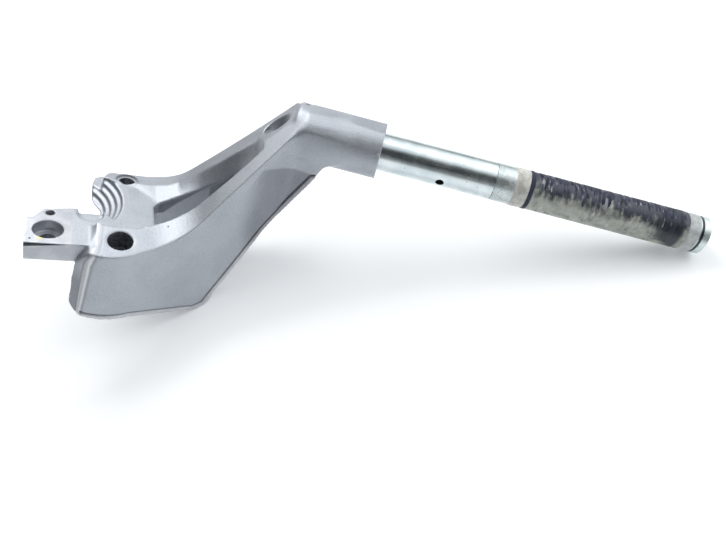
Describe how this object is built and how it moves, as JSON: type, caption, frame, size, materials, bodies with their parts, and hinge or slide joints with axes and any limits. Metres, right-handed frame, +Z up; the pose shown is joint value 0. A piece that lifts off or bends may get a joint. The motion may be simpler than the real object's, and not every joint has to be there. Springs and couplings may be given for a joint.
{
  "type": "motorcycle handlebar half",
  "caption": "Right half of a two-piece motorcycle handlebar: a cast aluminium arm with bolt seats and a window, and a steel bar tube in its round socket, with remains of the old grip.",
  "frame": {"origin": "centre of the bounding box's bottom, on the bench that the half lies on", "axes": "Z up from the bench; X from the bolted tongue to the tube's free end; Y away from the camera, towards the front of the motorcycle"},
  "size_m": [0.3796, 0.109, 0.0962],
  "materials": {
    "cast_aluminium": "blasted satin",
    "zinc_plated_steel": "zinc plated, bright, lightly marked",
    "insert_steel": "zinc plated, dull",
    "clear_tape": null,
    "cream_glue": "matte",
    "dark_rubber": "matte",
    "smeared_glue": "smeared, streaky",
    "rubber_film": "streaky, half matte",
    "pale_glue": "matte"
  },
  "bodies": {
    "root": {"arm_casting": "cast_aluminium", "bar_tube": "zinc_plated_steel", "bar_end_insert": "insert_steel", "clear_tape": "clear_tape", "glue_bead": "cream_glue", "rubber_lip": "dark_rubber", "glue_film": "smeared_glue", "rubber_remains": "rubber_film", "end_band": "pale_glue"}
  },
  "joints": []
}
